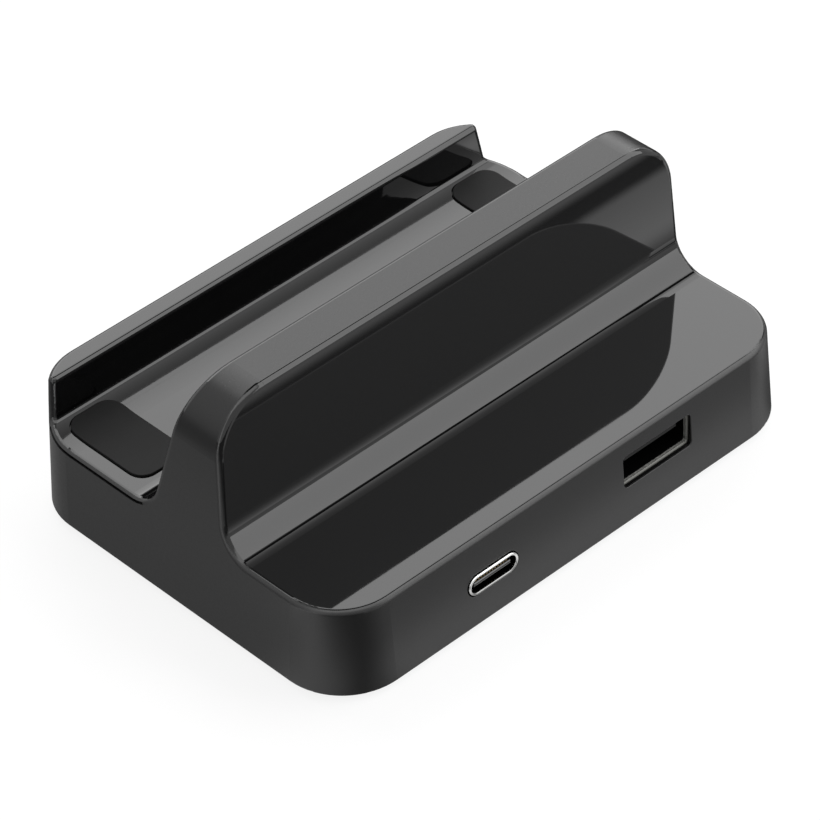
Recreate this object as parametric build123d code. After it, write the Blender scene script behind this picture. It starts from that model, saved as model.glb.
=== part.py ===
from build123d import *
import os
from math import asin, cos, degrees, radians, sqrt, tan

# Dock for a handheld console: a moulded housing with a lip, a tray and a rib, closed from
# below by a flat cover, with a two-port circuit board inside.
# Millimetres. X runs along the length, the lip is at -Y, the ports are at +Y, Z is up.
# The origin is the middle of the surface that the feet stand on.

# Overall form, heights measured from the lower edge of the skirt
length = 86.45
width = 63.45
corner_radius = 9.8
wall_draft = 3.4
foot_stand = 0.8
wall = 2.0
rim_radius = 0.8
skirt_edge_radius = 0.4

# Lip along the front
lip_height = 20.1
lip_foot_inset = 5.175
lip_lean = 4.4
lip_foot_radius = 0.65

# Tray between the lip and the rib: flat beside the rib, then curving up to the lip
tray_height = 12.94
tray_depth = 21.66
tray_flat = 15.3
tray_rise = 0.85

# Fine shadow line in both end walls, under the edge of the tray's floor
seam_drop = 0.35
seam_width = 0.4
seam_depth = 0.5
seam_turn = 25.0

# Rib that the console leans on
rib_height = 36.3
rib_front_lean = 17.0
rib_back_lean = 2.35
rib_top_thickness = 6.53
rib_end_radius = 8.7
rib_foot_radius = 5.3

# Deck behind the rib
deck_height = 13.9
deck_foot_radius = 4.65

# Rubber pads let into both ends of the tray
pad_width = 8.45
pad_length = 15.8
pad_corner_radius = 2.4
pad_end_inset = 3.575
pad_lip_gap = 1.05
pad_let_in = 0.5
pad_proud = 0.3
pad_gap = 0.2
pad_edge_radius = 0.12

# Bottom cover, set into a rebate inside the skirt
cover_thickness = 1.6
cover_gap = 0.15
skirt_beside_cover = 1.0

# Feet and the screws behind them, at the four corners
foot_diameter = 10.0
foot_pocket_depth = 0.7
foot_pocket_gap = 0.1
foot_edge_radius = 0.3
foot_inset_x = 8.5
foot_inset_y = 8.25
cover_screw_diameter = 2.3
cover_screw_length = 7.0
cover_screw_head_diameter = 4.0
cover_screw_head_height = 1.4
cover_screw_head_gap = 0.2
cover_screw_web = 1.2
cover_boss_diameter = 6.4
screw_gap = 0.05
screw_hole_gap = 0.15
screw_end_room = 0.5

# Circuit board, hung from bosses under the deck and the tray
board_length = 56.0
board_depth = 37.5
board_thickness = 1.2
board_top_height = 5.05
board_corner_radius = 1.5
board_wall_gap = 0.8
board_boss_diameter = 4.4
board_screw_inset_x = 3.0
board_screw_inset_y = 2.5
board_screw_diameter = 1.9
board_screw_length = 5.0
board_screw_head_diameter = 3.4
board_screw_head_height = 1.2
head_edge_radius = 0.3
leg_slot_gap = 0.12
leg_below_board = 0.6

# Slim port, a rounded metal shell with a thin tongue, standing on the board
usb_c_x = 15.53
usb_c_width = 8.94
usb_c_height = 3.26
usb_c_wall = 0.4
usb_c_depth = 7.4
usb_c_proud = 0.2
usb_c_hole_gap = 0.15
port_edge_radius = 0.1
usb_c_lip_radius = 0.17
usb_c_tongue_width = 6.7
usb_c_tongue_thickness = 0.7
usb_c_tongue_recess = 0.3
usb_c_plug_depth = 1.6
usb_c_tip_radius = 0.3
usb_c_contact_count = 12
usb_c_contact_pitch = 0.5
usb_c_contact_width = 0.25
usb_c_contact_length = 3.2
usb_c_leg_width = 1.0
usb_c_leg_inset = 1.2

# Wide port, a folded sheet shell with a thick tongue, held above the board by its legs
usb_a_x = -15.34
usb_a_width = 12.8
usb_a_height = 5.1
usb_a_wall = 0.3
usb_a_depth = 14.0
usb_a_corner_radius = 0.6
usb_a_hole_gap = 0.05
usb_a_recess = 0.5
usb_a_stand = 0.9
usb_a_tongue_width = 10.4
usb_a_tongue_thickness = 1.5
usb_a_tongue_gap = 0.35
usb_a_tongue_recess = 0.9
usb_a_plug_depth = 3.0
usb_a_tip_radius = 0.25
usb_a_back_thickness = 1.2
usb_a_contact_count = 4
usb_a_contact_pitch = 2.3
usb_a_contact_width = 1.0
usb_a_contact_length = 7.0
usb_a_leg_width = 2.4
usb_a_leg_pin_width = 1.2
usb_a_leg_inset = 2.0
usb_a_mouth_chamfer = 0.2
contact_thickness = 0.1
plug_gap = 0.03

# Board parts: length, depth and height of each, then its place from the board's middle
hub_chip_size = (7.0, 7.0, 0.9)
hub_chip_place = (-1.0, -5.0)
power_chip_size = (4.0, 4.0, 0.9)
power_chip_place = (12.0, -5.5)
power_coil_size = (6.0, 6.0, 3.0)
power_coil_place = (19.5, -5.0)
crystal_size = (3.2, 2.5, 0.8)
crystal_place = (-8.5, -5.0)
large_capacitor_size = (3.2, 2.5, 1.8)
large_capacitor_count = 4
large_capacitor_pitch = 4.5
large_capacitor_place = (12.5, -12.5)
small_capacitor_size = (1.6, 0.8, 0.8)
small_capacitor_count = 8
small_capacitor_pitch = 2.4
small_capacitor_place = (-7.0, -11.0)
small_resistor_size = (1.0, 0.5, 0.35)
small_resistor_count = 8
small_resistor_pitch = 1.8
small_resistor_place = (-1.0, 1.5)
chip_mark_diameter = 0.6
chip_mark_depth = 0.1
chip_mark_inset = 1.0
coil_corner_radius = 1.0
coil_core_diameter = 4.2
coil_core_depth = 0.3

# How far from its named place an edge may lie and still be picked
pick_tolerance = 0.001
# Most of a thin wall's thickness that one of its two rounded edges may take
edge_share = 0.45

# Places worked out from the sizes above
draft_slope = tan(radians(wall_draft))
half_length = length / 2
half_width = width / 2
skirt_z = foot_stand
tray_z = skirt_z + tray_height
lip_foot_z = tray_z + tray_rise
lip_top_z = skirt_z + lip_height
deck_z = skirt_z + deck_height
rib_top_z = skirt_z + rib_height
lip_foot_y = -half_width + lip_foot_inset
lip_top_y = lip_foot_y - (lip_top_z - lip_foot_z) * tan(radians(lip_lean))
rib_front_foot_y = lip_foot_y + tray_depth
rib_foot_bend_y = rib_front_foot_y - rib_foot_radius / tan(radians(90 + rib_front_lean) / 2)
rib_front_top_y = rib_front_foot_y + (rib_top_z - tray_z) * tan(radians(rib_front_lean))
rib_back_top_y = rib_front_top_y + rib_top_thickness
rib_back_foot_y = rib_back_top_y + (rib_top_z - deck_z) * tan(radians(rib_back_lean))
tray_bend_y = rib_front_foot_y - tray_flat
tray_run = tray_bend_y - lip_foot_y
tray_curve_radius = (tray_run**2 + tray_rise**2) / (2 * tray_rise)
tray_curve_angle = degrees(asin(tray_run / tray_curve_radius))
tray_under_z = tray_z - wall
deck_under_z = deck_z - wall
cover_top_z = skirt_z + cover_thickness
foot_top_z = skirt_z + foot_pocket_depth
screw_seat_z = foot_top_z + cover_screw_head_gap + cover_screw_head_height
cup_top_z = screw_seat_z + cover_screw_web
board_top_z = skirt_z + board_top_height
board_under_z = board_top_z - board_thickness
usb_c_z = board_top_z + usb_c_height / 2
usb_a_z = board_top_z + usb_a_stand + usb_a_height / 2


def rear_face_y(z):
    """Where the drafted rear face lies at a height."""
    return half_width - (z - skirt_z) * draft_slope


board_rear_y = rear_face_y(board_top_z) - wall - board_wall_gap
board_y = board_rear_y - board_depth / 2
usb_c_front_y = rear_face_y(usb_c_z) + usb_c_proud
usb_a_front_y = rear_face_y(usb_a_z) - usb_a_recess
foot_places = {
    "front_left": (-half_length + foot_inset_x, -half_width + foot_inset_y),
    "front_right": (half_length - foot_inset_x, -half_width + foot_inset_y),
    "rear_left": (-half_length + foot_inset_x, half_width - foot_inset_y),
    "rear_right": (half_length - foot_inset_x, half_width - foot_inset_y),
}
board_screw_x = board_length / 2 - board_screw_inset_x
board_screw_y = board_depth / 2 - board_screw_inset_y
board_screw_places = [
    (side * board_screw_x, board_y + end * board_screw_y) for side in (-1, 1) for end in (-1, 1)
]


def cylinder(x, y, low, high, diameter):
    """Upright cylinder between two heights."""
    return Pos(x, y, low) * extrude(Circle(diameter / 2), amount=high - low)


def block(x, y, low, size):
    """Box standing on a height, centred in plan."""
    return Pos(x, y, low + size[2] / 2) * Box(*size)


def rear_plane(y):
    """Upright plane across the dock; sketches on it read X and Z, and extrude towards the front."""
    return Plane((0, y, 0), x_dir=(1, 0, 0), z_dir=(0, -1, 0))


def round_corner(outline, corner, radius):
    """Rounds the corner of a flat outline that lies nearest to a point."""
    nearest = outline.vertices().sort_by_distance(Vector(*corner))[0]
    return fillet(nearest, radius)


def edges_at(solid, axis, place):
    """Edges whose middle lies at one place along an axis."""
    return solid.edges().filter_by_position(axis, place - pick_tolerance, place + pick_tolerance)


def edge_radius(radius, thickness):
    """Radius for both edges of a thin wall, held so that they leave some of its thickness."""
    return min(radius, thickness * edge_share)


def sharp_edges(solid):
    """Edges where two faces meet at an angle, leaving out those that run on smoothly."""
    smooth_limit = 0.97
    found = ShapeList()
    faces = solid.faces()
    for edge in solid.edges():
        middle = edge.position_at(0.5)
        sides = [face.normal_at(middle) for face in faces if edge in face.edges()]
        if len(sides) == 2 and sides[0].dot(sides[1]) < smooth_limit:
            found.append(edge)
    return found


def skirt_block(inset, top_z):
    """Rounded block with drafted walls, drawn in from the skirt by a wall thickness."""
    plan = RectangleRounded(length - 2 * inset, width - 2 * inset, corner_radius - inset)
    return Pos(0, 0, skirt_z) * extrude(plan, amount=top_z - skirt_z, taper=wall_draft)


def along_length(section):
    """Runs a section, drawn in Y and Z, past both ends of the dock."""
    return extrude(Plane.YZ * section, amount=length, both=True)


def tray_curve(lift):
    """Arc of the tray's floor, raised by a lift, from the lip to the flat stretch."""
    centre = (tray_bend_y, tray_z + tray_curve_radius)
    return CenterArc(centre, tray_curve_radius - lift, -90 - tray_curve_angle, tray_curve_angle)


def outer_section():
    """Section through lip, tray, rib and deck."""
    floor_curve = tray_curve(0)
    edges = floor_curve + Polyline(
        floor_curve @ 1,
        (rib_front_foot_y, tray_z),
        (rib_front_top_y, rib_top_z),
        (rib_back_top_y, rib_top_z),
        (rib_back_foot_y, deck_z),
        (width, deck_z),
        (width, 0),
        (-width, 0),
        (-width, lip_top_z),
        (lip_top_y, lip_top_z),
        floor_curve @ 0,
    )
    section = make_face(edges)
    section = round_corner(section, (lip_foot_y, lip_foot_z), lip_foot_radius)
    section = round_corner(section, (rib_front_foot_y, tray_z), rib_foot_radius)
    return round_corner(section, (rib_back_foot_y, deck_z), deck_foot_radius)


def inner_section():
    """Section of the hollow, one wall thickness inside the tray, the rib and the deck."""
    front_step = wall / cos(radians(rib_front_lean))
    back_step = wall / cos(radians(rib_back_lean))
    front_slope = tan(radians(rib_front_lean))
    back_slope = tan(radians(rib_back_lean))
    core_top_z = rib_top_z - wall

    def front_y(z):
        return rib_front_foot_y + (z - tray_z) * front_slope + front_step

    def back_y(z):
        return rib_back_foot_y - (z - deck_z) * back_slope - back_step

    points = [
        (-width, tray_under_z),
        (front_y(tray_under_z), tray_under_z),
        (front_y(core_top_z), core_top_z),
        (back_y(core_top_z), core_top_z),
        (back_y(deck_under_z), deck_under_z),
        (width, deck_under_z),
        (width, 0),
        (-width, 0),
    ]
    return make_face(Polyline(*points, close=True))


def rib_form(inset, section, top_z):
    """Drafted block cut to a section, with the rib's two upper ends rounded."""
    form = skirt_block(inset, rib_top_z + wall) & along_length(section)
    ends = edges_at(form, Axis.Z, top_z).filter_by(Axis.Y)
    return fillet(ends, rib_end_radius - inset)


def housing_outside():
    """Outer form with its rims and crests rounded."""
    form = rib_form(0, outer_section(), rib_top_z)
    base = edges_at(form, Axis.Z, skirt_z)
    rims = [edge for edge in sharp_edges(form) if edge not in base]
    form = fillet(rims, rim_radius)
    return fillet(edges_at(form, Axis.Z, skirt_z), skirt_edge_radius)


def pad_plan(gap):
    """Outlines of both pads seen from above, grown by a gap."""
    x = half_length - pad_end_inset - pad_width / 2
    y = lip_foot_y + pad_lip_gap + pad_length / 2
    outline = RectangleRounded(pad_width + 2 * gap, pad_length + 2 * gap, pad_corner_radius + gap)
    return [Pos(side * x, y) * outline for side in (-1, 1)]


def tray_layer(low, high):
    """Layer that follows the tray's floor between two lifts."""
    lower = tray_curve(low)
    upper = tray_curve(high)
    corners = [(rib_front_foot_y, tray_z + lift) for lift in (low, high)]
    flat = Polyline(lower @ 1, *corners, upper @ 1)
    return along_length(make_face(lower + flat + upper + Line(upper @ 0, lower @ 0)))


def seam_curve(lift):
    """Line of the tray's floor, raised by a lift, from the lip to a little way up the rib's foot."""
    rise = tray_curve(lift)
    centre = (rib_foot_bend_y, tray_z + rib_foot_radius)
    turn = CenterArc(centre, rib_foot_radius - lift, -90, seam_turn)
    return [rise, Line(rise @ 1, turn @ 0), turn]


def tray_seams():
    """Shadow line that follows the tray's floor round both ends, cut in from the end walls."""
    lower = seam_curve(-seam_drop - seam_width)
    upper = seam_curve(-seam_drop)
    ends = [Line(lower[0] @ 0, upper[0] @ 0), Line(lower[-1] @ 1, upper[-1] @ 1)]
    layer = make_face(lower + upper + ends)
    return along_length(layer) - skirt_block(seam_depth, lip_top_z)


def pad_recesses():
    """Shallow seats for the pads in the tray's floor."""
    layer = tray_layer(-pad_let_in, pad_proud)
    return [extrude(plan, amount=lip_top_z) & layer for plan in pad_plan(pad_gap)]


def port_holes():
    """Openings through the rear wall for the two ports."""
    slim = SlotOverall(usb_c_width + 2 * usb_c_hole_gap, usb_c_height + 2 * usb_c_hole_gap)
    wide = RectangleRounded(
        usb_a_width + 2 * usb_a_hole_gap,
        usb_a_height + 2 * usb_a_hole_gap,
        usb_a_corner_radius + usb_a_hole_gap,
    )
    outside = rear_plane(half_width)
    through = half_width - board_rear_y
    return [
        extrude(outside * Pos(usb_c_x, usb_c_z) * slim, amount=through),
        extrude(outside * Pos(usb_a_x, usb_a_z) * wide, amount=through),
    ]


def soften_port_holes(body):
    """Rounds the outer edges of the openings in the rear face."""
    rear = body.faces().filter_by(GeomType.PLANE).sort_by(Axis.Y)[-1]
    mouths = [edge for wire in rear.inner_wires() for edge in wire.edges()]
    return fillet(mouths, port_edge_radius)


def boss_posts():
    """Posts of the screw bosses, tall enough to meet whatever covers them."""
    high = [cylinder(x, y, cup_top_z, rib_top_z, cover_boss_diameter) for x, y in foot_places.values()]
    return high + [cylinder(x, y, board_top_z, rib_top_z, board_boss_diameter) for x, y in board_screw_places]


def boss_holes():
    """Pilot holes in the screw bosses."""
    cover_top = screw_seat_z + cover_screw_length + screw_end_room
    cover_hole = cover_screw_diameter + 2 * screw_gap
    board_top = board_under_z + board_screw_length + screw_end_room
    board_hole = board_screw_diameter + 2 * screw_gap
    holes = [cylinder(x, y, cup_top_z, cover_top, cover_hole) for x, y in foot_places.values()]
    return holes + [cylinder(x, y, board_top_z, board_top, board_hole) for x, y in board_screw_places]


def cover_plan(gap):
    """Outline of the rebate inside the skirt, drawn in by a gap."""
    inset = skirt_beside_cover + gap
    return RectangleRounded(length - 2 * inset, width - 2 * inset, corner_radius - inset)


def top_housing():
    hollow = rib_form(wall, inner_section(), rib_top_z - wall) - boss_posts()
    rebate = Pos(0, 0, skirt_z) * extrude(cover_plan(0), amount=cover_thickness)
    body = soften_port_holes(housing_outside() - hollow - rebate - port_holes())
    return body - pad_recesses() - boss_holes() - tray_seams()


def bottom_cover():
    plate = Pos(0, 0, skirt_z) * extrude(cover_plan(cover_gap), amount=cover_thickness)
    for x, y in foot_places.values():
        cup = cylinder(x, y, cover_top_z, cup_top_z, cover_boss_diameter)
        pocket = cylinder(x, y, skirt_z, foot_top_z, foot_diameter + 2 * foot_pocket_gap)
        head_room = cover_screw_head_diameter + 2 * screw_hole_gap
        head_well = cylinder(x, y, foot_top_z, screw_seat_z, head_room)
        hole = cylinder(x, y, screw_seat_z, cup_top_z, cover_screw_diameter + 2 * screw_hole_gap)
        plate = plate + cup - pocket - head_well - hole
    return plate


def tray_pads():
    """Pads that follow the tray's floor, with softened upper edges."""
    layer = tray_layer(-pad_let_in, pad_proud)
    made = []
    for plan in pad_plan(0):
        pad = extrude(plan, amount=lip_top_z) & layer
        top = pad.faces().sort_by(Axis.Z)[-2:]
        rim = [edge for edge in sharp_edges(pad) if any(edge in face.edges() for face in top)]
        made.append(fillet(rim, pad_edge_radius))
    return dict(zip(("tray_pad_left", "tray_pad_right"), made))


def feet():
    made = {}
    for corner, (x, y) in foot_places.items():
        foot = cylinder(x, y, 0, foot_top_z, foot_diameter)
        made["foot_" + corner] = fillet(edges_at(foot, Axis.Z, 0), foot_edge_radius)
    return made


def screw(x, y, seat_z, diameter, reach, head_diameter, head_height):
    """Screw driven upwards, with its round head below the seat."""
    head = cylinder(x, y, seat_z - head_height, seat_z, head_diameter)
    head = fillet(edges_at(head, Axis.Z, seat_z - head_height), head_edge_radius)
    return head + cylinder(x, y, seat_z, seat_z + reach, diameter)


def cover_screws():
    head = (cover_screw_head_diameter, cover_screw_head_height)
    return [
        screw(x, y, screw_seat_z, cover_screw_diameter, cover_screw_length, *head)
        for x, y in foot_places.values()
    ]


def board_screws():
    head = (board_screw_head_diameter, board_screw_head_height)
    return [
        screw(x, y, board_under_z, board_screw_diameter, board_screw_length, *head)
        for x, y in board_screw_places
    ]


def usb_c_legs(gap):
    """Four legs of the slim port's shell, or their slots in the board when given a gap."""
    drop = usb_c_height / 2 + board_thickness + leg_below_board
    size = (usb_c_wall + 2 * gap, usb_c_leg_width + 2 * gap, drop)
    x = (usb_c_width - usb_c_wall) / 2
    low = board_under_z - leg_below_board
    ends = (usb_c_front_y - usb_c_depth + usb_c_leg_inset, board_rear_y - usb_c_leg_inset)
    return [block(usb_c_x + side * x, y, low, size) for side in (-1, 1) for y in ends]


def usb_a_legs(gap):
    """Four shouldered legs of the wide port's shell, or the slots for their pins."""
    x = (usb_a_width - usb_a_wall) / 2
    pin_low = board_under_z - leg_below_board
    pin = (usb_a_wall + 2 * gap, usb_a_leg_pin_width + 2 * gap, board_thickness + leg_below_board)
    shoulder = (usb_a_wall, usb_a_leg_width, usb_a_stand + usb_a_corner_radius)
    ends = (usb_a_front_y - usb_a_depth + usb_a_leg_inset, board_rear_y - usb_a_leg_inset)
    legs = []
    for side in (-1, 1):
        for y in ends:
            leg = block(usb_a_x + side * x, y, pin_low, pin)
            if gap == 0:
                leg = leg + block(usb_a_x + side * x, y, board_top_z, shoulder)
            legs.append(leg)
    return legs


def main_board():
    plan = RectangleRounded(board_length, board_depth, board_corner_radius)
    board = Pos(0, board_y, board_under_z) * extrude(plan, amount=board_thickness)
    hole = board_screw_diameter + 2 * screw_hole_gap
    for x, y in board_screw_places:
        board = board - cylinder(x, y, board_under_z, board_top_z, hole)
    return board - usb_c_legs(leg_slot_gap) - usb_a_legs(leg_slot_gap)


def usb_c_shell():
    outline = SlotOverall(usb_c_width, usb_c_height)
    bore = SlotOverall(usb_c_width - 2 * usb_c_wall, usb_c_height - 2 * usb_c_wall)
    front = rear_plane(usb_c_front_y) * Pos(usb_c_x, usb_c_z)
    shell = extrude(front * (outline - bore), amount=usb_c_depth)
    mouth = edges_at(shell, Axis.Y, usb_c_front_y)
    return fillet(mouth, edge_radius(usb_c_lip_radius, usb_c_wall)) + usb_c_legs(0)


def usb_c_tongue():
    """Insulator that fills the back of the shell and carries the thin tongue."""
    inner = 2 * (usb_c_wall + plug_gap)
    back_y = usb_c_front_y - usb_c_depth
    plug = SlotOverall(usb_c_width - inner, usb_c_height - inner)
    plug_front = rear_plane(back_y + usb_c_plug_depth) * Pos(usb_c_x, usb_c_z)
    body = extrude(plug_front * plug, amount=usb_c_plug_depth)
    reach = usb_c_depth - usb_c_plug_depth - usb_c_tongue_recess
    blade = Rectangle(usb_c_tongue_width, usb_c_tongue_thickness)
    tip_y = usb_c_front_y - usb_c_tongue_recess
    tongue = extrude(rear_plane(tip_y) * Pos(usb_c_x, usb_c_z) * blade, amount=reach)
    tip = edges_at(tongue, Axis.Y, tip_y)
    return body + fillet(tip, edge_radius(usb_c_tip_radius, usb_c_tongue_thickness))


def contact_row(x, z, tip_y, count, pitch, contact_width, contact_length):
    """Row of flat contacts, running back from the tip of a tongue."""
    size = (contact_width, contact_length, contact_thickness)
    first = x - (count - 1) * pitch / 2
    return [block(first + i * pitch, tip_y - contact_length / 2, z, size) for i in range(count)]


def usb_c_contacts():
    tip_y = usb_c_front_y - usb_c_tongue_recess - usb_c_tip_radius
    sides = (usb_c_tongue_thickness / 2, -usb_c_tongue_thickness / 2 - contact_thickness)
    row = (usb_c_contact_count, usb_c_contact_pitch, usb_c_contact_width, usb_c_contact_length)
    return [bar for side in sides for bar in contact_row(usb_c_x, usb_c_z + side, tip_y, *row)]


def usb_a_shell():
    outline = RectangleRounded(usb_a_width, usb_a_height, usb_a_corner_radius)
    bore = RectangleRounded(
        usb_a_width - 2 * usb_a_wall,
        usb_a_height - 2 * usb_a_wall,
        usb_a_corner_radius - usb_a_wall,
    )
    front = rear_plane(usb_a_front_y) * Pos(usb_a_x, usb_a_z)
    shell = extrude(front * (outline - bore), amount=usb_a_depth)
    mouth = shell.faces().sort_by(Axis.Y)[-1].inner_wires()[0].edges()
    return chamfer(mouth, usb_a_mouth_chamfer) + usb_a_legs(0)


def usb_a_tongue():
    """Insulator with the tongue in the upper half of the mouth and a back that stands on the board."""
    inner_width = usb_a_width - 2 * (usb_a_wall + plug_gap)
    inner_height = usb_a_height - 2 * (usb_a_wall + plug_gap)
    back_y = usb_a_front_y - usb_a_depth
    plug = RectangleRounded(inner_width, inner_height, usb_a_corner_radius - usb_a_wall)
    plug_front = rear_plane(back_y + usb_a_plug_depth) * Pos(usb_a_x, usb_a_z)
    body = extrude(plug_front * plug, amount=usb_a_plug_depth)
    back = (inner_width, usb_a_back_thickness, usb_a_stand + usb_a_height - usb_a_wall)
    body = body + block(usb_a_x, back_y - usb_a_back_thickness / 2, board_top_z, back)
    reach = usb_a_depth - usb_a_plug_depth - usb_a_tongue_recess
    size = (usb_a_tongue_width, reach, usb_a_tongue_thickness)
    tongue = block(usb_a_x, back_y + usb_a_plug_depth + reach / 2, usb_a_tongue_low_z(), size)
    tip_y = usb_a_front_y - usb_a_tongue_recess
    return body + fillet(edges_at(tongue, Axis.Y, tip_y), usb_a_tip_radius)


def usb_a_tongue_low_z():
    """Underside of the wide port's tongue."""
    mouth_top = usb_a_z + usb_a_height / 2 - usb_a_wall
    return mouth_top - usb_a_tongue_gap - usb_a_tongue_thickness


def usb_a_contacts():
    tip_y = usb_a_front_y - usb_a_tongue_recess - usb_a_contact_width
    z = usb_a_tongue_low_z() - contact_thickness
    row = (usb_a_contact_count, usb_a_contact_pitch, usb_a_contact_width, usb_a_contact_length)
    return contact_row(usb_a_x, z, tip_y, *row)


def on_board(place, size):
    """Box on the board's upper face, placed from the board's middle."""
    return block(place[0], board_y + place[1], board_top_z, size)


def chip(place, size):
    """Flat chip with a round mark at its first pin."""
    top_z = board_top_z + size[2]
    x = place[0] - size[0] / 2 + chip_mark_inset
    y = board_y + place[1] - size[1] / 2 + chip_mark_inset
    return on_board(place, size) - cylinder(x, y, top_z - chip_mark_depth, top_z, chip_mark_diameter)


def power_coil():
    coil = on_board(power_coil_place, power_coil_size)
    coil = fillet(coil.edges().filter_by(Axis.Z), coil_corner_radius)
    x = power_coil_place[0]
    y = board_y + power_coil_place[1]
    top_z = board_top_z + power_coil_size[2]
    return coil - cylinder(x, y, top_z - coil_core_depth, top_z, coil_core_diameter)


def part_row(place, size, count, pitch):
    """Row of like board parts along X, about a place."""
    first = place[0] - (count - 1) * pitch / 2
    return [on_board((first + i * pitch, place[1]), size) for i in range(count)]


def pieces():
    """Every node of the dock by name."""
    large = (large_capacitor_place, large_capacitor_size, large_capacitor_count, large_capacitor_pitch)
    small = (small_capacitor_place, small_capacitor_size, small_capacitor_count, small_capacitor_pitch)
    resistor = (small_resistor_place, small_resistor_size, small_resistor_count, small_resistor_pitch)
    return {
        "top_housing": top_housing(),
        "bottom_cover": bottom_cover(),
        **tray_pads(),
        **feet(),
        "cover_screws": cover_screws(),
        "main_board": main_board(),
        "board_screws": board_screws(),
        "usb_c_shell": usb_c_shell(),
        "usb_c_tongue": usb_c_tongue(),
        "usb_c_contacts": usb_c_contacts(),
        "usb_a_shell": usb_a_shell(),
        "usb_a_tongue": usb_a_tongue(),
        "usb_a_contacts": usb_a_contacts(),
        "hub_chip": chip(hub_chip_place, hub_chip_size),
        "power_chip": chip(power_chip_place, power_chip_size),
        "power_coil": power_coil(),
        "clock_crystal": on_board(crystal_place, crystal_size),
        "large_capacitors": part_row(*large),
        "small_capacitors": part_row(*small),
        "small_resistors": part_row(*resistor),
    }


os.makedirs("parts", exist_ok=True)
for node, piece in pieces().items():
    solid = Compound(children=piece) if isinstance(piece, list) else piece
    export_step(solid, "parts/" + node + ".step")
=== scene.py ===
import math

import bpy
from mathutils import Matrix, Vector

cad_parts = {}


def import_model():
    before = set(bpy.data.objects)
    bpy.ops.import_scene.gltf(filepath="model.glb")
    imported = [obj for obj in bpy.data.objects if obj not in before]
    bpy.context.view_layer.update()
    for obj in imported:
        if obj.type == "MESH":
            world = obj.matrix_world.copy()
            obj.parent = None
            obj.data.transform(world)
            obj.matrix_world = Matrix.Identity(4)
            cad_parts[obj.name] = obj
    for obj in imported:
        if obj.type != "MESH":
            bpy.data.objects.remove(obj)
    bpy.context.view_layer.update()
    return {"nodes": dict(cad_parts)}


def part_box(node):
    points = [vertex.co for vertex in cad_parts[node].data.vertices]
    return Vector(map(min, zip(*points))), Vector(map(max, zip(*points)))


MM = 0.001
NOISE_SPAN = (0.3, 0.7)  # where most values of a noise texture lie
METAL_GRAIN_MM = 0.0006  # depth of the grain on bare metal
PLAIN_GLEAM = 0.5  # specular level of ordinary plastic

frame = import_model()
nodes = frame["nodes"]


class Graph:
    """Short ways to build a node tree; a value is a constant or the output of another node."""

    def __init__(self, tree):
        self.tree = tree

    def node(self, kind, **settings):
        made = self.tree.nodes.new(kind)
        for key, value in settings.items():
            setattr(made, key, value)
        return made

    def link(self, source, target):
        self.tree.links.new(source, target)

    def fill(self, socket, value):
        """Gives a socket a constant or the output of another node."""
        if isinstance(value, (int, float)):
            socket.default_value = value
        else:
            self.link(value, socket)

    def math(self, operation, a, b=0.0):
        made = self.node("ShaderNodeMath", operation=operation)
        self.fill(made.inputs[0], a)
        self.fill(made.inputs[1], b)
        return made.outputs[0]

    def less(self, a, b):
        return self.math("SUBTRACT", a, b)

    def total(self, first, *others):
        for other in others:
            first = self.math("ADD", first, other)
        return first

    def product(self, first, *others):
        for other in others:
            first = self.math("MULTIPLY", first, other)
        return first

    def ramp(self, value, span, levels=(0.0, 1.0), shape="LINEAR"):
        """Runs from one level to another as a value crosses a span, and holds them outside it."""
        made = self.node("ShaderNodeMapRange", clamp=True, interpolation_type=shape)
        self.fill(made.inputs["Value"], value)
        for name, limit in zip(("From Min", "From Max", "To Min", "To Max"), (*span, *levels)):
            made.inputs[name].default_value = limit
        return made.outputs["Result"]

    def ease(self, value, span, levels=(0.0, 1.0)):
        """A ramp that starts and ends softly."""
        return self.ramp(value, span, levels, "SMOOTHSTEP")

    def mix(self, factor, first, second):
        made = self.node("ShaderNodeMix", data_type="FLOAT")
        self.fill(made.inputs["Factor"], factor)
        self.fill(made.inputs["A"], first)
        self.fill(made.inputs["B"], second)
        return made.outputs["Result"]

    def hill(self, value, middle, spread):
        """1 at the middle, falling off smoothly on both sides."""
        off = self.math("DIVIDE", self.less(value, middle), spread)
        return self.math("EXPONENT", self.product(off, off, -1.0))

    def coordinate(self, kind):
        return self.node("ShaderNodeTexCoord").outputs[kind]

    def parts(self, vector):
        """The three components of a vector."""
        made = self.node("ShaderNodeSeparateXYZ")
        self.link(vector, made.inputs[0])
        return list(made.outputs)

    def millimetres(self):
        """Place on the object in millimetres, one output for each axis."""
        return [self.product(part, 1 / MM) for part in self.parts(self.coordinate("Object"))]


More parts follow.
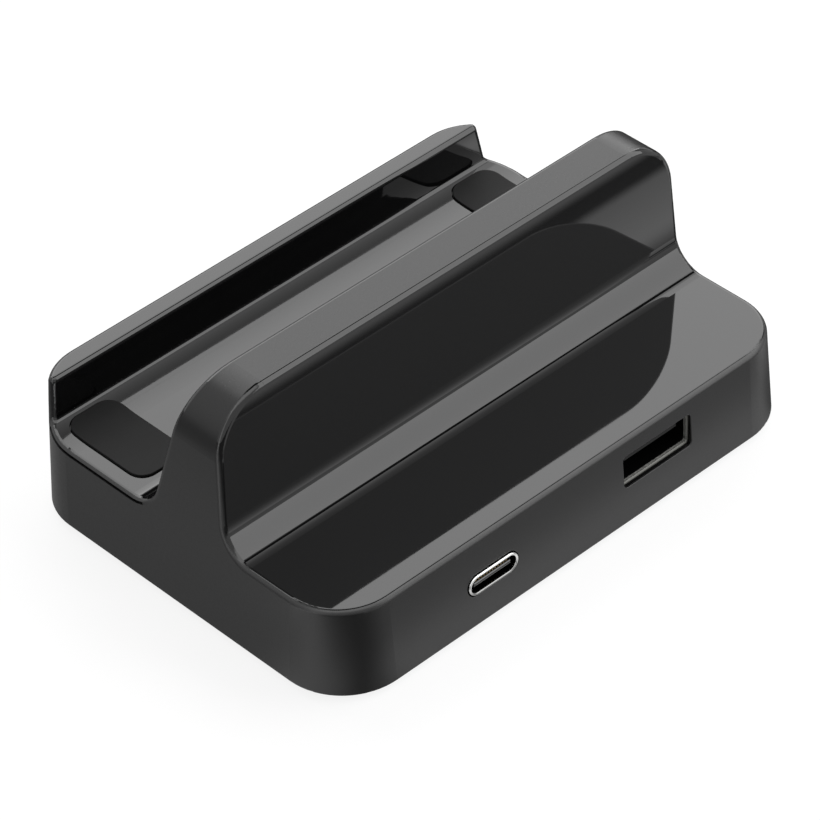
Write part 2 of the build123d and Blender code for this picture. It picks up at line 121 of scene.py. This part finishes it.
class Surface(Graph):
    """A principled material whose colour, roughness and bump come from procedural nodes in object space."""

    def __init__(self, name):
        self.material = bpy.data.materials.new(name)
        self.material.use_nodes = True
        super().__init__(self.material.node_tree)
        self.shader = self.tree.nodes["Principled BSDF"]
        self.place = self.coordinate("Object")

    def noise(self, grain_mm, detail=2.0, stretch=(1, 1, 1)):
        """Noise whose features are about a given size across."""
        mapping = self.node("ShaderNodeMapping")
        self.link(self.place, mapping.inputs["Vector"])
        mapping.inputs["Scale"].default_value = stretch
        made = self.node("ShaderNodeTexNoise")
        self.link(mapping.outputs[0], made.inputs["Vector"])
        made.inputs["Scale"].default_value = 1 / (grain_mm * MM)
        made.inputs["Detail"].default_value = detail
        return made.outputs["Fac"]

    def blend(self, value, first, second):
        """Colour that runs between two others as a value runs from 0 to 1."""
        made = self.node("ShaderNodeMix", data_type="RGBA")
        self.link(value, made.inputs["Factor"])
        for name, colour in (("A", first), ("B", second)):
            if isinstance(colour, tuple):
                made.inputs[name].default_value = (*colour, 1)
            else:
                self.link(colour, made.inputs[name])
        return made.outputs["Result"]

    def colour(self, value, first, second):
        self.link(self.blend(value, first, second), self.shader.inputs["Base Color"])

    def set(self, name, value):
        """Gives a socket of the shader a constant or the output of another node."""
        self.fill(self.shader.inputs[name], value)

    def rough(self, noise, levels):
        """Roughness that runs between two levels with a noise."""
        self.set("Roughness", self.ramp(noise, NOISE_SPAN, levels))

    def bump(self, height, depth_mm):
        made = self.node("ShaderNodeBump")
        made.inputs["Strength"].default_value = 1.0
        made.inputs["Distance"].default_value = depth_mm * MM
        self.link(height, made.inputs["Height"])
        self.link(made.outputs["Normal"], self.shader.inputs["Normal"])

    def on(self, *names):
        """Puts the material on pieces in place of what they had."""
        for name in names:
            nodes[name].data.materials.clear()
            nodes[name].data.materials.append(self.material)


def rounded(s, a, b, corner):
    """Distance outside a corner of a given radius, from how far a point lies past its two centre lines."""
    a_out = s.math("MAXIMUM", a, 0.0)
    b_out = s.math("MAXIMUM", b, 0.0)
    away = s.math("SQRT", s.total(s.product(a_out, a_out), s.product(b_out, b_out)))
    inside = s.math("MINIMUM", s.math("MAXIMUM", a, b), 0.0)
    return s.less(s.total(away, inside), corner)


def outer_form(s):
    """1 on the drafted walls and over the rib's rounded crest, 0 on the surfaces inside their rims."""
    half_x, half_y, corner, draft, skirt = 43.225, 31.725, 9.8, 0.0594, 0.8
    end_x, end_z, end_corner = 32.87, 28.4, 8.7
    wall_rim, crest_rim, crest_turn = (-0.6, -0.2), (-0.35, -0.25), (0.05, 0.16)
    x, y, z = s.millimetres()
    x, y = s.math("ABSOLUTE", x), s.math("ABSOLUTE", y)
    plan = rounded(s, s.less(x, half_x - corner), s.less(y, half_y - corner), corner)
    walls = s.total(plan, s.product(s.less(z, skirt), draft))
    above = s.less(z, end_z)
    spread = s.product(s.math("MINIMUM", above, 0.0), draft)
    ends = rounded(s, s.total(s.less(x, end_x), spread), above, end_corner)
    _, facing_y, _ = s.parts(s.coordinate("Normal"))
    turned = s.math("ABSOLUTE", facing_y)
    on_crest = s.product(s.ramp(ends, crest_rim), s.ramp(turned, crest_turn, (1.0, 0.0)))
    return s.math("MAXIMUM", s.ramp(walls, wall_rim), on_crest)


def gloss_housing():
    """Black moulding: polished inside the rims, satin on the outer walls, a finer satin high on the rib."""
    crest_z, crest_finer, crest_gleam = (28.0, 34.0), 0.1, 0.37
    s = Surface("housing_gloss_black")
    satin = outer_form(s)
    peel = s.noise(2.6, detail=1.0)
    grain = s.noise(0.35)
    smudge = s.noise(14.0, detail=3.0)
    s.colour(smudge, (0.0034, 0.0034, 0.0036), (0.0048, 0.0048, 0.005))
    polished = s.ramp(smudge, (0.35, 0.65), (0.02, 0.035))
    _, _, z = s.millimetres()
    high = s.ease(z, crest_z)
    soft = s.less(s.ramp(grain, NOISE_SPAN, (0.37, 0.43)), s.product(high, crest_finer))
    s.set("Roughness", s.mix(satin, polished, soft))
    s.set("Specular IOR Level", s.mix(s.product(satin, high), PLAIN_GLEAM, crest_gleam))
    s.bump(s.mix(satin, peel, grain), depth_mm=0.0004)
    s.set("IOR", 1.5)
    s.on("top_housing")


def moulded(name, *names, tones, rough, grain_mm, tone_mm, depth_mm, detail=2.0, gleam=PLAIN_GLEAM):
    """Plastic, rubber or ceramic with a fine grain and a slow change of tone."""
    s = Surface(name)
    grain = s.noise(grain_mm, detail)
    s.colour(s.noise(tone_mm), *tones)
    s.rough(grain, rough)
    s.bump(grain, depth_mm)
    s.set("Specular IOR Level", gleam)
    s.on(*names)


def metal(name, *names, tones, rough, grain_mm, stretch):
    """Bare metal with a faint drawn grain."""
    s = Surface(name)
    grain = s.noise(grain_mm, stretch=stretch)
    s.colour(grain, *tones)
    s.rough(grain, rough)
    s.bump(grain, METAL_GRAIN_MM)
    s.set("Metallic", 1.0)
    s.on(*names)


def port_shell(name, node, rim, lining, painted_shade_depth, rough, lining_mm, kept_under_painted_shade=1.0):
    """Plated shell with a strip of lining behind its front edge; past the strip its colour turns to painted shade,
    and low down it can be mixed into that painted shade too.
    """
    fade_mm, lower_end_mm, upper_start_mm = 0.1, 2.8, 1.4
    s = Surface(name)
    _, y, z = s.millimetres()
    _, front, top = (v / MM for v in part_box(node)[1])
    back = front - lining_mm
    grain = s.noise(0.5, stretch=(1, 0.1, 1))
    strip = s.blend(s.ramp(y, (back, front)), lining, rim)
    # Past the lining strip the colour turns to painted shade, where shade falls inside the socket.
    near = s.ramp(y, (back - fade_mm, back))
    # Painted shade low down on the shell: there only the given share of its colour is kept.
    painted_shade_by_height = s.ramp(z, (top - lower_end_mm, top - upper_start_mm), (kept_under_painted_shade, 1.0))
    clear_of_painted_shade = s.product(near, painted_shade_by_height, s.ramp(grain, NOISE_SPAN, (0.85, 1.0)))
    s.colour(clear_of_painted_shade, painted_shade_depth, strip)
    s.rough(grain, rough)
    s.bump(grain, METAL_GRAIN_MM)
    s.set("Metallic", 1.0)
    s.on(node)


def board_mask():
    """Green solder mask over faint copper tracks."""
    s = Surface("board_green")
    wave = s.node("ShaderNodeTexWave", wave_type="BANDS", bands_direction="DIAGONAL", wave_profile="SAW")
    s.link(s.place, wave.inputs["Vector"])
    wave.inputs["Scale"].default_value = 260.0
    wave.inputs["Distortion"].default_value = 4.0
    wave.inputs["Detail Scale"].default_value = 0.4
    track = s.ramp(wave.outputs["Fac"], (0.55, 0.6))
    s.colour(track, (0.008, 0.07, 0.028), (0.02, 0.13, 0.05))
    s.set("Roughness", s.ramp(s.noise(1.2), (0.0, 1.0), (0.28, 0.38)))
    s.bump(track, depth_mm=0.02)
    s.on("main_board")


def rubber_and_cover():
    """The pieces that touch the console and the table, and the cover between the feet."""
    moulded(
        "cover_matte_black",
        "bottom_cover",
        tones=((0.012, 0.012, 0.0125), (0.018, 0.018, 0.0185)),
        rough=(0.55, 0.72),
        grain_mm=0.22,
        tone_mm=9.0,
        depth_mm=0.02,
    )
    moulded(
        "pad_rubber",
        "tray_pad_left",
        "tray_pad_right",
        tones=((0.02, 0.02, 0.02), (0.024, 0.024, 0.024)),
        rough=(0.48, 0.56),
        grain_mm=0.16,
        tone_mm=3.0,
        depth_mm=0.003,
        gleam=0.05,
    )
    moulded(
        "foot_rubber",
        "foot_front_left",
        "foot_front_right",
        "foot_rear_left",
        "foot_rear_right",
        tones=((0.014, 0.014, 0.014), (0.022, 0.022, 0.0215)),
        rough=(0.65, 0.85),
        grain_mm=0.3,
        tone_mm=2.0,
        depth_mm=0.015,
        detail=3.0,
        gleam=0.3,
    )


def ports():
    """The two sockets in the rear face: shells, contacts and tongues."""
    # The second colour here is painted shade, for the depth inside the USB-C socket and its bottom part.
    bright, painted_shade_dull = (0.8, 0.8, 0.79), (0.02, 0.02, 0.019)
    port_shell(
        "port_bright_steel", "usb_c_shell", bright, bright, painted_shade_dull, rough=(0.18, 0.26), lining_mm=0.38, kept_under_painted_shade=0.26
    )
    # USB-A shell: its front edge is painted darker than its pale lining, as shade, and the last colour is painted
    # shade for the depth inside.
    painted_dim_rim, pale, dark = (0.07, 0.07, 0.065), (0.4, 0.4, 0.38), (0.004, 0.004, 0.004)
    port_shell("port_steel", "usb_a_shell", painted_dim_rim, pale, dark, rough=(0.6, 0.7), lining_mm=0.56)
    metal(
        "contact_gold",
        "usb_c_contacts",
        "usb_a_contacts",
        tones=((0.72, 0.5, 0.2), (0.82, 0.6, 0.27)),
        rough=(0.2, 0.3),
        grain_mm=0.3,
        stretch=(1, 0.1, 1),
    )
    for name, node, gleam in (("port_black", "usb_a_tongue", 0.1), ("port_gloss_black", "usb_c_tongue", 0.7)):
        moulded(
            name,
            node,
            tones=((0.001, 0.001, 0.001), (0.002, 0.002, 0.002)),
            rough=(0.15, 0.2),
            grain_mm=0.15,
            tone_mm=1.8,
            depth_mm=0.001,
            gleam=gleam,
        )


def board_and_screws():
    """The circuit board, what is soldered to it, and the screws."""
    board_mask()
    metal(
        "screw_steel",
        "cover_screws",
        "board_screws",
        tones=((0.42, 0.42, 0.43), (0.5, 0.5, 0.51)),
        rough=(0.25, 0.36),
        grain_mm=0.4,
        stretch=(1, 1, 0.2),
    )
    metal(
        "crystal_steel",
        "clock_crystal",
        tones=((0.5, 0.5, 0.49), (0.6, 0.6, 0.59)),
        rough=(0.25, 0.38),
        grain_mm=0.3,
        stretch=(0.2, 1, 1),
    )
    moulded(
        "chip_black",
        "hub_chip",
        "power_chip",
        "small_resistors",
        tones=((0.014, 0.014, 0.015), (0.02, 0.02, 0.021)),
        rough=(0.5, 0.65),
        grain_mm=0.1,
        tone_mm=1.2,
        depth_mm=0.006,
    )
    moulded(
        "coil_ferrite",
        "power_coil",
        tones=((0.06, 0.06, 0.065), (0.085, 0.085, 0.09)),
        rough=(0.55, 0.7),
        grain_mm=0.2,
        tone_mm=2.4,
        depth_mm=0.012,
    )
    moulded(
        "capacitor_ceramic",
        "large_capacitors",
        "small_capacitors",
        tones=((0.33, 0.24, 0.15), (0.42, 0.31, 0.2)),
        rough=(0.35, 0.45),
        grain_mm=0.15,
        tone_mm=1.8,
        depth_mm=0.004,
    )


def camera():
    """Camera fitted to the straight edges of the photograph, given for an image of 820 by 820."""
    azimuth, elevation, roll = (math.radians(v) for v in (137.769, 39.715, -2.581))
    focal, centre_x, centre_y = 4422.148, 422.414, 407.115
    middle_x, middle_y, distance, frame_px = 410.664, 369.555, 594.25, 820.0
    target = Vector((0, 0, 14.8))
    outward = math.cos(elevation)
    back = Vector((math.sin(azimuth) * outward, -math.cos(azimuth) * outward, math.sin(elevation)))
    level = Vector((math.cos(azimuth), math.sin(azimuth), 0))
    upright = back.cross(level)
    right = math.cos(roll) * level + math.sin(roll) * upright
    up = -math.sin(roll) * level + math.cos(roll) * upright
    per_px = distance / focal
    place = target + back * distance - right * (middle_x - centre_x) * per_px + up * (middle_y - centre_y) * per_px
    data = bpy.data.cameras.new("camera")
    data.sensor_width = 36.0
    data.lens = focal / frame_px * data.sensor_width
    data.shift_x = -(centre_x - frame_px / 2) / frame_px
    data.shift_y = (centre_y - frame_px / 2) / frame_px
    data.clip_start = 0.01
    data.clip_end = 20.0
    made = bpy.data.objects.new("camera", data)
    bpy.context.scene.collection.objects.link(made)
    turn = Matrix((right, up, back)).transposed().to_4x4()
    made.matrix_world = Matrix.Translation(place * MM) @ turn
    bpy.context.scene.camera = made


def softbox(name, direction, upright, across, tall, radiance):
    """Rectangular lamp a metre off that faces the dock, with a given brightness seen in reflections."""
    data = bpy.data.lights.new(name, "AREA")
    data.shape = "RECTANGLE"
    data.size = across
    data.size_y = tall
    data.energy = radiance * math.pi * across * tall
    made = bpy.data.objects.new(name, data)
    bpy.context.scene.collection.objects.link(made)
    way = Vector(direction).normalized()
    side = Vector(upright).cross(way).normalized()
    turn = Matrix((side, way.cross(side), way)).transposed().to_4x4()
    made.matrix_world = Matrix.Translation(way) @ turn
    made.visible_camera = False


def lights():
    """A wide lamp off the front and a tall one off the rear, both past the end that the camera doesn't see."""
    softbox(
        "front_softbox",
        direction=(-0.438, -0.617, 0.654),
        upright=(-0.13, 0.09, 1.0),
        across=1.38,
        tall=0.76,
        radiance=2.45,
    )
    softbox(
        "rear_softbox",
        direction=(-0.649, 0.511, 0.562),
        upright=(0.0, -0.739, 0.674),
        across=0.73,
        tall=1.52,
        radiance=2.5,
    )


def painted_floor_glow(s):
    """How bright the floor looks in the dock's gloss, as painted light: it glows brighter behind the dock and off
    its ends, with painted shade elsewhere.

    Each ramp gives a span in millimetres and the brightness, or a share of it, at the span's two ends.
    """
    x, y, _ = s.millimetres()

    # The ground level of the painted glow: it rises toward the end in view and is even behind the dock.
    rear_level = 0.16
    rising = s.total(s.ease(x, (15.0, 42.0), (0.10, 0.46)), s.ease(x, (46.0, 60.0), (0.0, 0.08)))
    front = s.product(rising, s.ease(x, (68.0, 80.0), (1.0, 0.55)))
    base = s.mix(s.ease(y, (22.0, 34.0)), front, rear_level)

    # Two painted bands of light behind the dock, the far one with a dip of painted shade. They start a little
    # later toward the far end.
    middle = s.ease(y, (37.0, 44.0), (0.87, 0.0))
    side = s.product(s.ramp(y, (32.0, 42.0), (1.25, 0.85)), s.ease(y, (42.2, 44.8), (1.0, 0.0)))
    near = s.mix(s.ease(x, (-57.0, -50.0)), side, middle)
    dip = s.product(s.hill(y, middle=57.0, spread=5.5), 0.45)
    far = s.less(s.ease(y, (46.9, 49.4), (0.0, 0.75)), dip)
    late_mm = s.product(s.ramp(x, (-46.0, -36.0), (3.0, 0.0)), s.ramp(x, (-57.0, -53.0)))
    started = s.ease(s.less(y, late_mm), (27.0, 34.0))
    behind = s.product(s.total(near, far), s.ease(x, (28.0, 42.0), (1.0, 0.0)), started)

    # Painted patches of light off the rear corner in view, off the end in view and off the far end.
    corner = s.product(s.hill(y, middle=28.5, spread=8.5), s.ease(x, (38.0, 45.0), (0.0, 0.76)))
    fan_x, fan_y, least_mm = 42.0, 8.0, 1.0
    bearing = s.math("DIVIDE", s.less(y, fan_y), s.math("MAXIMUM", s.less(x, fan_x), least_mm))
    fan = s.product(s.hill(bearing, middle=0.16, spread=0.16), s.ease(x, (58.0, 67.0), (0.0, 2.4)))
    far_end = s.product(s.hill(y, middle=-2.5, spread=4.5), s.ease(x, (-57.8, -56.4), (1.5, 0.0)))
    return s.total(base, behind, corner, fan, far_end)


def floor():
    """Pale floor that reads white to the camera and keeps a faint shadow of the dock."""
    half = 3.0
    seen_pale, seen_glow, lit_pale = 0.2, 0.86, 0.8
    mesh = bpy.data.meshes.new("floor")
    mesh.from_pydata([(-half, -half, 0), (half, -half, 0), (half, half, 0), (-half, half, 0)], [], [(0, 1, 2, 3)])
    made = bpy.data.objects.new("floor", mesh)
    bpy.context.scene.collection.objects.link(made)
    material = bpy.data.materials.new("floor_white")
    material.use_nodes = True
    s = Graph(material.node_tree)
    s.tree.nodes.clear()
    path = s.node("ShaderNodeLightPath")
    out = s.node("ShaderNodeOutputMaterial")

    def diffuse(level):
        made = s.node("ShaderNodeBsdfDiffuse")
        made.inputs["Color"].default_value = (level, level, level, 1)
        return made.outputs[0]

    def glow(strength):
        made = s.node("ShaderNodeEmission")
        s.fill(made.inputs["Strength"], strength)
        return made.outputs[0]

    def choose(ray, no, yes):
        made = s.node("ShaderNodeMixShader")
        s.link(path.outputs[ray], made.inputs[0])
        s.link(no, made.inputs[1])
        s.link(yes, made.inputs[2])
        return made.outputs[0]

    seen = s.node("ShaderNodeAddShader")
    s.link(diffuse(seen_pale), seen.inputs[0])
    s.link(glow(seen_glow), seen.inputs[1])
    lit = choose("Is Glossy Ray", diffuse(lit_pale), glow(painted_floor_glow(s)))
    s.link(choose("Is Camera Ray", lit, seen.outputs[0]), out.inputs["Surface"])
    mesh.materials.append(material)


def world_in_reflections(s):
    """How bright the surroundings look in the dock's gloss, by direction.

    They are white, with a dark gap between the lamps, a light arch around the front lamp, and a light strip
    over the end in view that goes on from the floor's fan.
    """
    gap_level, least_z, least_x = 0.03, 0.01, 0.1
    arch_middle = (-0.517, -0.570, 0.639)
    way = s.coordinate("Generated")
    x, y, z = s.parts(way)

    slope = s.math("DIVIDE", y, s.math("MAXIMUM", z, least_z))
    gap = s.product(
        s.ramp(slope, (-0.40, -0.36)),
        s.ramp(slope, (-0.08, -0.04), (1.0, 0.0)),
        s.ramp(x, (-0.05, 0.12), (1.0, 0.0)),
    )

    toward = s.node("ShaderNodeVectorMath", operation="DOT_PRODUCT")
    s.link(way, toward.inputs[0])
    toward.inputs[1].default_value = arch_middle
    nearness = toward.outputs["Value"]
    arch = s.product(
        s.ramp(nearness, (0.0, 0.25)),
        s.ramp(nearness, (0.70, 0.80), (1.0, 0.0)),
        s.ramp(x, (-0.40, -0.25)),
        s.ramp(y, (-0.3, -0.02), (0.3, 1.8)),
        s.less(1.0, gap),
    )

    bearing = s.math("DIVIDE", y, s.math("MAXIMUM", x, least_x))
    strip = s.product(s.hill(bearing, middle=0.16, spread=0.16), s.ramp(x, (0.3, 0.6), (0.0, 1.6)))
    return s.total(s.mix(gap, 1.0, gap_level), strip, arch)


def world():
    """White surroundings in view, their own pattern in reflections, and a softer level as light."""
    white, as_light = 1.0, 0.3
    made = bpy.data.worlds.new("world")
    bpy.context.scene.world = made
    made.use_nodes = True
    s = Graph(made.node_tree)
    background = s.tree.nodes["Background"]
    background.inputs["Color"].default_value = (1, 1, 1, 1)
    path = s.node("ShaderNodeLightPath").outputs
    seen = s.math("MAXIMUM", path["Is Camera Ray"], path["Is Transmission Ray"])
    lit = s.mix(path["Is Glossy Ray"], as_light, world_in_reflections(s))
    s.link(s.mix(seen, lit, white), background.inputs["Strength"])


gloss_housing()
rubber_and_cover()
ports()
board_and_screws()
camera()
floor()
world()
lights()
bpy.context.scene.view_settings.view_transform = "Standard"
